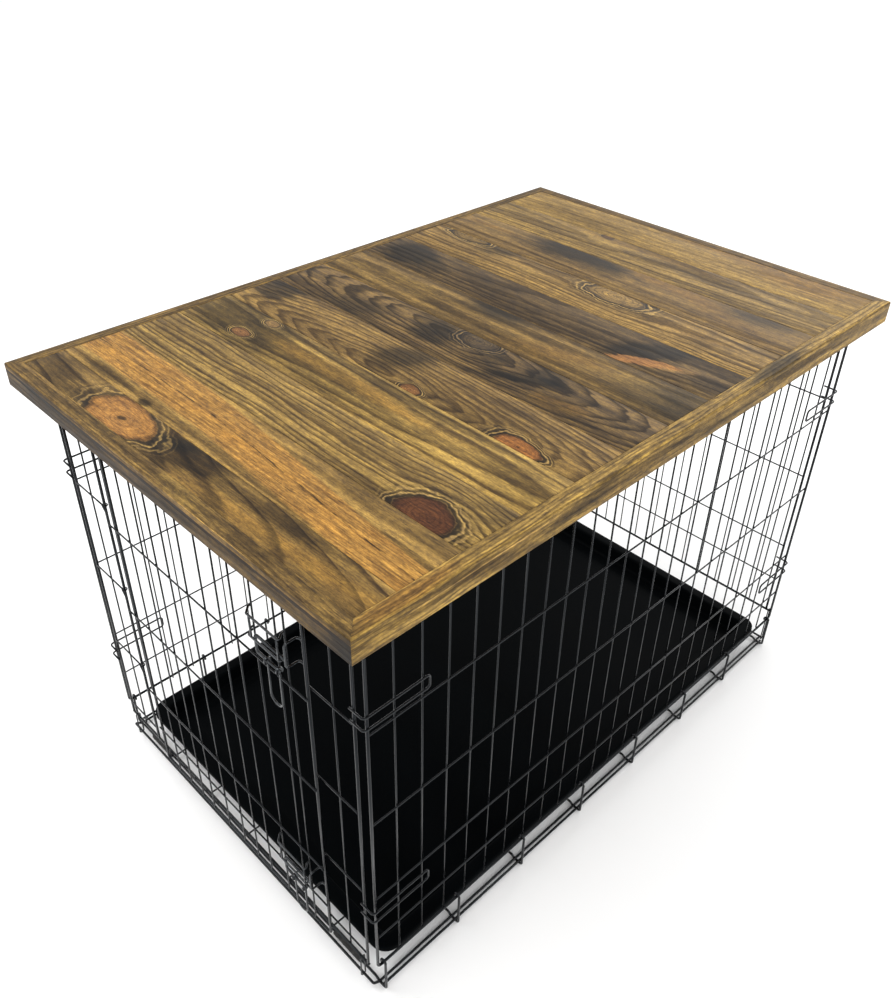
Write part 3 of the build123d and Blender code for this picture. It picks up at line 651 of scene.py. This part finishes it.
def bright_heartwood(tree, along, across, colour):
    """The bare honey-coloured streak of the second plank, between two lines that drift left.

    Each edge stays level, then slides across by a share of the distance past its bend. A thin
    crack runs down the middle of it, here and there.
    """
    past = tree.math("MAXIMUM", tree.total(along, 60.0), 0.0)
    stray = tree.sway(tree.grain(along, across, 0.0, 0.2, 0.05, 3.0), 10.0)
    right = tree.total(-404.0, tree.times(past, -0.108), stray)
    left = tree.total(-469.0, tree.times(past, -0.082), tree.times(stray, 0.8))
    inside = tree.times(
        tree.between(tree.less(right, across), -1.5, 2.5),
        tree.between(tree.less(across, left), -2.0, 5.0),
    )
    silk = tree.grain(along, across, 9.0, 0.035, 0.35, 4.0, 0.65)
    cloud = tree.grain(along, across, 4.0, 0.25, 0.03, 3.0, 0.6)
    fleck = tree.grain(along, across, 6.0, 0.05, 0.4, 4.0, 0.7)
    wood = tree.wash(tint(156, 120, 66), tint(104, 74, 40), silk, 0.35, 0.68)
    wood = tree.wash(wood, AMBER, cloud, 0.45, 0.7, 0.6)
    wood = tree.wash(wood, UMBER, fleck, 0.58, 0.68, 0.75)
    spread = tree.less(across, tree.total(-437.0, tree.times(past, -0.075), stray))
    crack = tree.between(tree.math("ABSOLUTE", spread), 1.5, 0.4)
    broken = tree.noise(tree.vector(along, 0.0, 2.0), 0.02, 3.0)
    wood = tree.mix(tree.times(crack, tree.between(broken, 0.42, 0.55), 0.9), wood, WALNUT)
    return tree.mix(inside, colour, wood)


# What a board is when its entry below doesn't say: its grain runs along X (axis 0), it isn't
# folded down at a side (-1 or 1), and it has the usual lightness, ring wander and mottling.
BOARD = dict(
    axis=0, fold=0.0, tone=1.0, wander=0.35, mottle=0.2, knots=(), patches=(), heartwood=None
)

# Each plank, in millimetres: its light and dark wood, its rings as (middle line, depth of the
# heart below the face, drift of the depth per millimetre, ring spacing), how strongly the late
# wood shows, how dark its blotches are, and its knots and patches of stain.
# knot: (along, across, half length, half width, taper, halo, knot colour, ring colour)
# patch: (along, across, half length, half width, turn, softness, strength, stain)
PLANKS = {
    1: dict(
        tone=0.92, light=TAN, dark=UMBER, rings=(-560, 70, 0.10, 12.0), show=0.95, blotch=0.5,
        knots=[(-133, -527, 70, 34, 0.28, 0.6, tint(152, 112, 64), tint(122, 84, 46))],
        patches=[
            (-325, -528, 64, 40, 0.0, 0.5, 0.7, WALNUT),
            (-235, -545, 60, 16, 0.2, 0.5, 0.6, WALNUT),
            (0, -516, 84, 30, 0.2, 0.5, 0.95, WALNUT),
            (180, -508, 120, 14, 0.1, 0.6, 0.7, WALNUT),
            (200, -535, 190, 13, 0.05, 0.6, 0.7, YELLOW),
            (-40, -512, 40, 12, 0.35, 0.5, 0.8, INK),
        ],
    ),
    2: dict(
        heartwood=bright_heartwood, light=TAN, dark=UMBER,
        rings=(-450, 120, 0.0, 5.5), show=0.6, blotch=0.5,
        patches=[
            (-260, -482, 60, 9, 0.0, 0.5, 0.7, WALNUT),
            (-150, -488, 14, 8, 0.0, 0.4, 0.9, INK),
        ],
    ),
    3: dict(
        tone=0.80, light=YELLOW, dark=UMBER,
        rings=(-262, 20, -0.025, 9.5), show=0.82, blotch=0.35,
        knots=[(284, -386, 44, 31, 0.05, 0.9, ROSE, tint(58, 32, 20))],
        patches=[(360, -330, 60, 30, 0.0, 0.6, 0.4, WALNUT)],
    ),
    4: dict(
        tone=1.08, light=YELLOW, dark=UMBER, rings=(-255, 60, 0.02, 8.5), show=0.8, blotch=0.4,
        knots=[
            (-238, -273, 19, 11, 0.0, 1.0, tint(112, 80, 54), tint(60, 42, 28)),
            (-228, -222, 15, 9, 0.0, 1.0, tint(122, 98, 64), tint(66, 50, 32)),
        ],
        patches=[
            (-290, -252, 92, 56, 0.0, 0.5, 0.8, INK),
            (-205, -240, 50, 60, 0.0, 0.5, 0.6, SMOKE),
            (-20, -250, 180, 13, 0.0, 0.5, 0.75, YELLOW),
            (-60, -280, 190, 16, 0.0, 0.5, 0.65, WALNUT),
            (60, -222, 240, 9, 0.0, 0.5, 0.6, WALNUT),
            (330, -266, 60, 30, 0.0, 0.7, 0.35, WALNUT),
        ],
    ),
    5: dict(
        tone=0.80, light=TAN, dark=UMBER, wander=0.8,
        rings=(-190, 2, 0.16, 7.0), show=0.8, blotch=0.6,
        knots=[
            (63, -203, 19, 11, 0.2, 1.0, tint(128, 90, 54), tint(84, 56, 34)),
            (262, -202, 38, 17, 0.3, 0.9, tint(150, 100, 54), tint(114, 74, 42)),
        ],
        patches=[
            (-322, -140, 42, 38, 0.0, 0.35, 0.8, INK),
            (-10, -142, 50, 34, 0.6, 0.5, 0.8, INK),
            (-20, -190, 30, 30, 0.2, 0.6, 0.5, WALNUT),
        ],
    ),
    6: dict(
        tone=0.54, light=TAN, dark=WALNUT, wander=0.9,
        rings=(-45, 4, 0.17, 8.5), show=0.85, blotch=0.6,
        knots=[(28, -30, 34, 19, 0.1, 1.0, tint(104, 86, 56), tint(34, 28, 22))],
        patches=[
            (-40, -55, 46, 34, 0.3, 0.5, 0.85, INK),
            (-190, -85, 60, 26, 0.3, 0.6, 0.6, SMOKE),
            (50, -40, 60, 22, -0.5, 0.5, 0.7, INK),
            (225, -88, 42, 17, 0.1, 0.35, 0.95, YELLOW),
            (170, -35, 30, 26, 0.4, 0.5, 0.7, SMOKE),
            (140, -70, 70, 12, 0.5, 0.4, 0.8, INK),
        ],
    ),
    7: dict(
        tone=1.12, light=OLIVE, dark=WALNUT, rings=(30, 90, -0.01, 8.0), show=0.6, blotch=0.6,
        patches=[
            (-28, 62, 60, 22, 0.0, 0.5, 0.85, INK),
            (300, 22, 64, 48, 0.0, 0.5, 0.6, SMOKE),
            (345, 40, 40, 44, 0.0, 0.5, 0.6, INK),
            (120, 20, 80, 20, 0.3, 0.6, 0.6, TAN),
        ],
    ),
    8: dict(
        tone=0.60, light=OLIVE, dark=WALNUT, wander=0.8,
        rings=(160, 60, 0.02, 9.0), show=0.7, blotch=0.6,
        patches=[
            (-296, 130, 52, 50, 0.0, 0.4, 0.9, INK),
            (-232, 112, 40, 30, 0.0, 0.5, 0.6, SMOKE),
            (225, 138, 86, 26, 0.75, 0.4, 0.85, INK),
            (232, 100, 46, 11, 0.40, 0.25, 1.8, SALMON),
            (276, 114, 30, 9, 0.45, 0.35, 1.2, CREAM),
            (345, 110, 40, 20, 0.2, 0.6, 0.5, WALNUT),
        ],
    ),
    9: dict(
        tone=0.93, light=TAN, dark=UMBER, wander=0.6,
        rings=(232, 22, 0.012, 9.0), show=0.8, blotch=0.4,
        knots=[
            (66, 252, 56, 24, 0.0, 1.0, tint(140, 114, 68), tint(40, 30, 20)),
            (-278, 262, 44, 17, 0.0, 1.0, tint(118, 96, 58), tint(34, 27, 20)),
        ],
        patches=[
            (-190, 262, 50, 24, 0.5, 0.5, 0.7, SMOKE),
            (240, 230, 60, 10, 0.0, 0.6, 0.5, YELLOW),
        ],
    ),
    10: dict(
        tone=0.66, light=TAN, dark=UMBER, rings=(330, 110, 0.0, 10.0), show=0.55, blotch=0.5,
        patches=[
            (-110, 348, 95, 42, 0.0, 0.5, 0.95, INK),
            (-10, 332, 34, 30, 0.0, 0.5, 0.7, SMOKE),
            (100, 352, 130, 17, -0.12, 0.4, 0.7, YELLOW),
            (250, 305, 80, 22, -0.25, 0.6, 0.5, OLIVE),
            (270, 350, 66, 24, 0.1, 0.6, 0.7, SMOKE),
            (-280, 330, 80, 5, 0.0, 0.4, 0.7, YELLOW),
        ],
    ),
    11: dict(
        tone=0.68, light=YELLOW, dark=UMBER, rings=(432, 40, 0.03, 9.0), show=0.6, blotch=0.3,
        knots=[(-108, 452, 14, 9, 0.0, 0.5, tint(98, 72, 44), WALNUT)],
        patches=[
            (0, 444, 200, 8, 0.0, 0.6, 0.5, TAN),
            (150, 420, 150, 10, 0.0, 0.6, 0.4, UMBER),
        ],
    ),
    12: dict(
        tone=0.78, light=YELLOW, dark=OLIVE, rings=(560, 60, 0.03, 11.0), show=0.6, blotch=0.3,
        patches=[
            (240, 535, 130, 36, 0.0, 0.6, 0.7, TAN),
            (-180, 490, 120, 20, 0.0, 0.8, 0.4, UMBER),
            (60, 548, 110, 10, 0.0, 0.6, 0.5, TAN),
        ],
    ),
}

# Each trim, as for a plank. Its thin dark lines and the painted highlights along its arris are long
# thin patches, and what lies past its outer edge is on its outer face.
TRIMS = {
    "front": dict(
        fold=-1.0, wander=1.3, mottle=0.30, tone=0.95,
        light=OLIVE, dark=WALNUT, rings=(-590, 12, 0.02, 7.0), show=0.55, blotch=0.6,
        patches=[
            (0, -600, 900, 12, 0.0, 0.4, 0.7, UMBER),
            # Painted highlight along the arris: a thin tan line, with a thin walnut line just under
            # it.
            (0, -581.5, 1200, 1.2, 0.0, 0.4, 1.2, TAN),
            (0, -586.0, 1200, 2.6, 0.0, 0.3, 1.6, WALNUT),
            # Painted highlight: a short cream line near the arris.
            (120, -575, 90, 0.6, 0.0, 0.4, 1.4, CREAM),
            (-270, -592, 80, 16, 0.0, 0.5, 0.6, INK),
            (40, -596, 60, 12, 0.0, 0.6, 0.5, WALNUT),
            (376, -594, 34, 24, 0.0, 0.6, 0.9, INK),
            (180, -604, 130, 5, 0.0, 0.6, 0.6, YELLOW),
        ],
    ),
    "rear": dict(
        fold=1.0, wander=1.1, mottle=0.30, tone=0.85,
        light=OLIVE, dark=UMBER, rings=(600, 14, 0.02, 8.0), show=0.5, blotch=0.4,
    ),
    "right": dict(
        axis=1, fold=1.0, wander=1.4, mottle=0.34,
        light=YELLOW, dark=UMBER, rings=(402, 10, 0.015, 7.0), show=0.6, blotch=0.5,
        patches=[
            # Painted shade: a wide umber patch darkens the whole outer face against the top.
            (0, 398, 640, 13, 0.0, 0.4, 0.5, UMBER),
            (230, 374, 64, 16, 0.0, 0.5, 0.8, SMOKE),
            # Painted highlights: short thin cream lines along the arris.
            (-380, 394, 110, 0.8, -0.02, 0.4, 1.6, CREAM),
            (120, 390, 90, 0.6, 0.0, 0.4, 1.3, CREAM),
            (-490, 372, 60, 10, 0.0, 0.6, 0.5, HONEY),
            (20, 374, 90, 10, 0.0, 0.6, 0.4, UMBER),
            (-380, 402, 90, 9, 0.2, 0.6, 0.6, UMBER),
            (-200, 396, 70, 12, -0.2, 0.6, 0.6, WALNUT),
            (60, 404, 120, 8, 0.1, 0.6, 0.5, WALNUT),
        ],
    ),
    "left": dict(
        axis=1, fold=-1.0, wander=1.2, mottle=0.32, tone=0.9,
        light=OLIVE, dark=WALNUT, rings=(-402, 12, 0.015, 7.0), show=0.55, blotch=0.5,
        patches=[(-420, -392, 90, 14, 0.0, 0.6, 0.6, WALNUT)],
    ),
}


# ------------------------------------------------------------------ other finishes
def powder_coat(name, colour, roughness, grit, shine):
    """Black powder coat: fine orange peel, lighter where it is thin, and a little dust."""
    material, tree, shader = new_material(name)
    point = object_point(tree)
    peel = tree.noise(point, 1.4, 2.0, 0.5)
    wear = tree.noise(point, 0.045, 4.0, 0.6)
    dust = tree.noise(point, 0.35, 3.0, 0.6)
    shade = tree.wash(colour, lighter(colour, 1.6), wear, 0.42, 0.7)
    shade = tree.wash(shade, tint(40, 42, 44), dust, 0.6, 0.8, 0.10)
    rough = tree.total(roughness, tree.sway(wear, 0.25))
    coat(tree, shader, shade, rough, tree.bump(peel, grit, 0.0001), shine)
    shader.inputs["Specular Tint"].default_value = (0.90, 0.96, 1.0, 1.0)
    return material


def moulded_plastic(name, colour, roughness):
    """Moulded black plastic: a leathery grain from two sizes of cell, and faint flow marks."""
    material, tree, shader = new_material(name)
    x, y, z = object_axes(tree)
    point = tree.vector(x, y, z)
    cells = tree.node("ShaderNodeTexVoronoi", feature="SMOOTH_F1")
    cells = tree.fill(cells, Vector=point, Scale=0.55)
    grain = tree.noise(point, 0.9, 3.0, 0.6)
    flow = tree.grain(x, y, z, 0.35, 0.008, 3.0, 0.5)
    scuff = tree.noise(tree.vector(x, tree.times(y, 0.1), z), 0.25, 4.0, 0.7)
    shade = tree.wash(colour, lighter(colour, 1.45), flow, 0.35, 0.7)
    shade = tree.wash(shade, tint(22, 24, 26), scuff, 0.62, 0.8, 0.2)
    rough = tree.total(roughness, tree.sway(flow, 0.3))
    height = tree.total(tree.times(cells, 0.6), tree.times(grain, 0.5))
    coat(tree, shader, shade, rough, tree.bump(height, 0.22, 0.0003), PLASTIC_SHINE)
    return material


def rubber(name):
    """Matt black rubber with a dusty bloom."""
    material, tree, shader = new_material(name)
    bloom = tree.noise(object_point(tree), 0.12, 4.0, 0.6)
    shade = tree.wash(tint(24, 24, 24), tint(58, 57, 55), bloom, 0.4, 0.75)
    rough = tree.between(bloom, 0.2, 0.8, 0.62, 0.86, "LINEAR")
    coat(tree, shader, shade, rough, tree.bump(bloom, 0.3, 0.0003), RUBBER_SHINE)
    return material


# ------------------------------------------------------------------ settings
class CrateSettings(bpy.types.PropertyGroup):
    """Sizes and colours that a user may want to change."""

    plank_arris: bpy.props.FloatProperty(
        name="Plank Arris",
        description="Radius of the eased edges of a plank",
        default=0.0010,
        min=0.0002,
        max=0.004,
        unit="LENGTH",
    )
    plank_crown: bpy.props.FloatProperty(
        name="Plank Crown",
        description="How far the edges of a plank fall below its middle",
        default=0.0002,
        min=0.0,
        max=0.001,
        unit="LENGTH",
    )
    trim_edge: bpy.props.FloatProperty(
        name="Trim Edge",
        description="Radius of the outer edges of the frame round the planks",
        default=0.0032,
        min=0.0005,
        max=0.008,
        unit="LENGTH",
    )
    wood_gloss: bpy.props.FloatProperty(
        name="Wood Roughness",
        description="Roughness of the finish on the wood",
        default=0.46,
        min=0.1,
        max=0.9,
        subtype="FACTOR",
    )
    pan_wall: bpy.props.FloatProperty(
        name="Pan Wall",
        description="Thickness of the slide-out pan",
        default=0.0025,
        min=0.001,
        max=0.004,
        unit="LENGTH",
    )
    wire_colour: bpy.props.FloatVectorProperty(
        name="Wire Colour",
        description="Colour of the powder coat on the wire panels",
        default=(0.0024, 0.0028, 0.0036),
        size=3,
        min=0.0,
        max=1.0,
        subtype="COLOR",
    )
    pan_colour: bpy.props.FloatVectorProperty(
        name="Pan Colour",
        description="Colour of the slide-out pan",
        default=(0.0006, 0.0010, 0.0013),
        size=3,
        min=0.0,
        max=1.0,
        subtype="COLOR",
    )
    weld_size: bpy.props.FloatProperty(
        name="Weld Size",
        description="Half width of the weld where two wires cross",
        default=0.0016,
        min=0.0005,
        max=0.003,
        unit="LENGTH",
    )


def settings():
    return bpy.context.scene.crate_settings


def finish_for(name, make, **values):
    """The named material, made on first use."""
    return bpy.data.materials.get(name) or make(name, **values)


def wire_finish():
    """The finish that the wire panels share with their welds."""
    look = dict(colour=(*settings().wire_colour, 1.0), roughness=0.16, grit=0.2, shine=0.30)
    return finish_for("black_powder_coat", powder_coat, **look)


# ------------------------------------------------------------------ pieces
def place_board(node, shape, board):
    """Place one board of the top, in its own stain."""
    material = stained_wood(f"stain_{node}", board, settings().wood_gloss)
    return place_mesh(f"{node}_board", *shape, material, body_of_node[node])


class CRATE_OT_planks(bpy.types.Operator):
    """Twelve stained planks, each a rounded section carried along its length"""

    bl_idname = "crate.planks"
    bl_label = "Planks"

    def execute(self, context):
        chosen = settings()
        for number, board in PLANKS.items():
            node = f"plank_{number:02d}"
            shape = plain_board(*corners_of(node), chosen.plank_arris, chosen.plank_crown)
            piece = place_board(node, shape, BOARD | board)
            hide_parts(node)
        return {"FINISHED"}


class CRATE_OT_trims(bpy.types.Operator):
    """The four mitred boards round the planks"""

    bl_idname = "crate.trims"
    bl_label = "Trim Boards"

    def execute(self, context):
        for name, choices in TRIMS.items():
            node = f"{name}_trim"
            board = BOARD | choices
            shape = mitred_board(*corners_of(node), board["axis"], settings().trim_edge)
            piece = place_board(node, shape, board)
            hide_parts(node)
        return {"FINISHED"}


class CRATE_OT_pan(bpy.types.Operator):
    """The slide-out pan, one moulded skin from its floor over the rim to the turned-down lip"""

    bl_idname = "crate.pan"
    bl_label = "Slide-out Pan"

    def execute(self, context):
        chosen = settings()
        shape = pan_skin(*corners_of("drop_pan"), chosen.pan_wall)
        look = dict(colour=(*chosen.pan_colour, 1.0), roughness=0.46)
        material = finish_for("moulded_pan", moulded_plastic, **look)
        piece = place_mesh("drop_pan_shell", *shape, material, "pan", sharp=50.0)
        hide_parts("drop_pan")
        return {"FINISHED"}


class CRATE_OT_pads(bpy.types.Operator):
    """Rubber sleeves on the first and last cross wires, turned round the wire"""

    bl_idname = "crate.pads"
    bl_label = "Rubber Pads"

    def execute(self, context):
        low, high = corners_of("floor_pads")
        radius = (high[2] - low[2]) / 2
        ends = (low[1] + radius, high[1] - radius)
        places = [(side, end, low[2] + radius) for end in ends for side in (-PAD_REACH, PAD_REACH)]
        shape = repeated(*sleeve(radius, PAD_LENGTH), np.array(places))
        material = finish_for("pad_rubber_bloom", rubber)
        piece = place_mesh("floor_pad_sleeves", *shape, material, "frame")
        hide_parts("floor_pads")
        return {"FINISHED"}


def merged_copy(node, name, material):
    """A copy of a wire piece with its loose triangles joined, so that its faces are smooth."""
    mesh = frame["nodes"][node].data.copy()
    mesh.name = name
    shape = bmesh.new()
    shape.from_mesh(mesh)
    bmesh.ops.remove_doubles(shape, verts=shape.verts, dist=1e-6)
    shape.to_mesh(mesh)
    shape.free()
    piece = place(mesh, material, body_of_node[node], sharp=42.0)
    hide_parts(node)
    return piece


LATCH_NODES = (
    "upper_slide_bolt",
    "lower_slide_bolt",
    "upper_bolt_handle",
    "lower_bolt_handle",
    "latch_guides",
    "bolt_keepers",
)


class CRATE_OT_wire_panels(bpy.types.Operator):
    """Powder-coated wire of the floor, sides, roof, end panels and door"""

    bl_idname = "crate.wire_panels"
    bl_label = "Wire Panels"

    def execute(self, context):
        material = wire_finish()
        for node in sorted(frame["nodes"]):
            if node in (*LATCH_NODES, "floor_pads") or body_of_node[node] in ("pan", "wood_top"):
                continue
            merged_copy(node, f"{node}_coated", material)
        return {"FINISHED"}


class CRATE_OT_latches(bpy.types.Operator):
    """The two slide-bolt latches: bolts, handles, guides and keepers"""

    bl_idname = "crate.latches"
    bl_label = "Latches"

    def execute(self, context):
        # The latches' coat is the wire coat's colour made 1.3 times as light, a painted highlight,
        # with a lower roughness and more shine.
        colour = lighter(settings().wire_colour, 1.3)
        look = dict(colour=colour, roughness=0.14, grit=0.12, shine=0.6)
        material = finish_for("rubbed_powder_coat", powder_coat, **look)
        for node in LATCH_NODES:
            merged_copy(node, f"{node}_coated", material)
        return {"FINISHED"}


# Each welded panel: its piece and body, its fill wires and bars with the axis that each is
# spaced along, and whether the welds lie on the low (0) or high (1) face of the bars.
WELDED = (
    ("left_side_welds", "frame", ("left_side_uprights", 1), ("left_side_bars", 2), 1),
    ("right_side_welds", "frame", ("right_side_uprights", 1), ("right_side_bars", 2), 0),
    ("rear_welds", "rear_panel", ("rear_uprights", 0), ("rear_bars", 2), 1),
    ("door_welds", "door", ("door_uprights", 0), ("door_bars", 2), 1),
    ("roof_welds", "frame", ("roof_long_wires", 0), ("roof_cross_wires", 1), 0),
)


class CRATE_OT_welds(bpy.types.Operator):
    """Weld beads where the fill wires of a panel cross"""

    bl_idname = "crate.welds"
    bl_label = "Weld Beads"

    def execute(self, context):
        material = wire_finish()
        for name, body, fill, bars, face in WELDED:
            axes = (fill[1], bars[1])
            through = 3 - sum(axes)
            level = corners_of(bars[0])[face][through]
            places = crossings(wire_centres(*fill)[1:-1], wire_centres(*bars), axes, level)
            half = np.full(3, settings().weld_size)
            half[through] *= WELD_FLATNESS
            piece = place_mesh(name, *repeated(*bead(half), places), material, body)
        return {"FINISHED"}


def paper():
    """The studio floor's matt white."""
    material, tree, shader = new_material("studio_paper")
    tone = tree.noise(object_point(tree), 0.002, 2.0)
    tree.put(shader.inputs["Base Color"], tree.mix(tone, grey(0.965), grey(0.985)))
    shader.inputs["Roughness"].default_value = PAPER_ROUGHNESS
    return material


class CRATE_OT_stage(bpy.types.Operator):
    """Pale floor, soft lights and the camera"""

    bl_idname = "crate.stage"
    bl_label = "Stage"

    def execute(self, context):
        scene = context.scene
        scene.view_settings.view_transform = "Standard"
        signs = ((-1, -1), (1, -1), (1, 1), (-1, 1))
        corners = [(x * FLOOR_REACH, y * FLOOR_REACH, FLOOR_LEVEL) for x, y in signs]
        ground = bpy.data.meshes.new("studio_floor")
        ground.from_pydata(corners, [], [(0, 1, 2, 3)])
        ground.materials.append(paper())
        floor = bpy.data.objects.new("studio_floor", ground)
        scene.collection.objects.link(floor)

        world = scene.world or bpy.data.worlds.new("studio_world")
        scene.world = world
        world.use_nodes = True
        sky = world.node_tree.nodes["Background"]
        sky.inputs["Color"].default_value = grey(1.0)
        sky.inputs["Strength"].default_value = SKY_STRENGTH

        for name, position, size, power in LIGHTS:
            lamp = bpy.data.lights.new(name, "AREA")
            lamp.size = size
            lamp.energy = power
            holder = bpy.data.objects.new(name, lamp)
            holder.location = position
            aim = CRATE_MIDDLE - Vector(position)
            holder.rotation_euler = aim.to_track_quat("-Z", "Y").to_euler()
            scene.collection.objects.link(holder)

        lens = bpy.data.cameras.new("camera")
        lens.lens = CAMERA_LENS
        lens.sensor_width = CAMERA_SENSOR
        lens.shift_x, lens.shift_y = CAMERA_SHIFT
        camera = bpy.data.objects.new("camera", lens)
        yaw, pitch, roll = (math.radians(angle) for angle in CAMERA_TURN)
        flat = math.cos(pitch)
        forward = np.array([math.sin(yaw) * flat, math.cos(yaw) * flat, math.sin(pitch)])
        right = np.cross(forward, [0, 0, 1])
        right /= np.linalg.norm(right)
        upward = np.cross(right, forward)
        tilted = right * math.cos(roll) + upward * math.sin(roll)
        raised = -right * math.sin(roll) + upward * math.cos(roll)
        turn = Matrix(np.stack([tilted, raised, -forward], axis=1).tolist()).to_4x4()
        camera.matrix_world = Matrix.Translation(CAMERA_PLACE) @ turn
        scene.collection.objects.link(camera)
        scene.camera = camera
        return {"FINISHED"}


STEPS = (
    CRATE_OT_planks,
    CRATE_OT_trims,
    CRATE_OT_pan,
    CRATE_OT_pads,
    CRATE_OT_wire_panels,
    CRATE_OT_latches,
    CRATE_OT_welds,
    CRATE_OT_stage,
)


class CRATE_PT_panel(bpy.types.Panel):
    """Crate settings and the steps that build it"""

    bl_idname = "CRATE_PT_panel"
    bl_label = "Wire Crate"
    bl_space_type = "VIEW_3D"
    bl_region_type = "UI"
    bl_category = "Crate"

    def draw(self, context):
        chosen = context.scene.crate_settings
        for name in chosen.bl_rna.properties.keys():
            if name not in ("rna_type", "name"):
                self.layout.prop(chosen, name)
        for step in STEPS:
            self.layout.operator(step.bl_idname)


CLASSES = (CrateSettings, *STEPS, CRATE_PT_panel)


def register():
    for entry in CLASSES:
        bpy.utils.register_class(entry)
    bpy.types.Scene.crate_settings = bpy.props.PointerProperty(type=CrateSettings)


def unregister():
    del bpy.types.Scene.crate_settings
    for entry in reversed(CLASSES):
        bpy.utils.unregister_class(entry)


def main():
    register()
    bpy.ops.crate.planks()
    bpy.ops.crate.trims()
    bpy.ops.crate.pan()
    bpy.ops.crate.pads()
    bpy.ops.crate.wire_panels()
    bpy.ops.crate.latches()
    bpy.ops.crate.welds()
    bpy.ops.crate.stage()


if __name__ == "__main__":
    main()
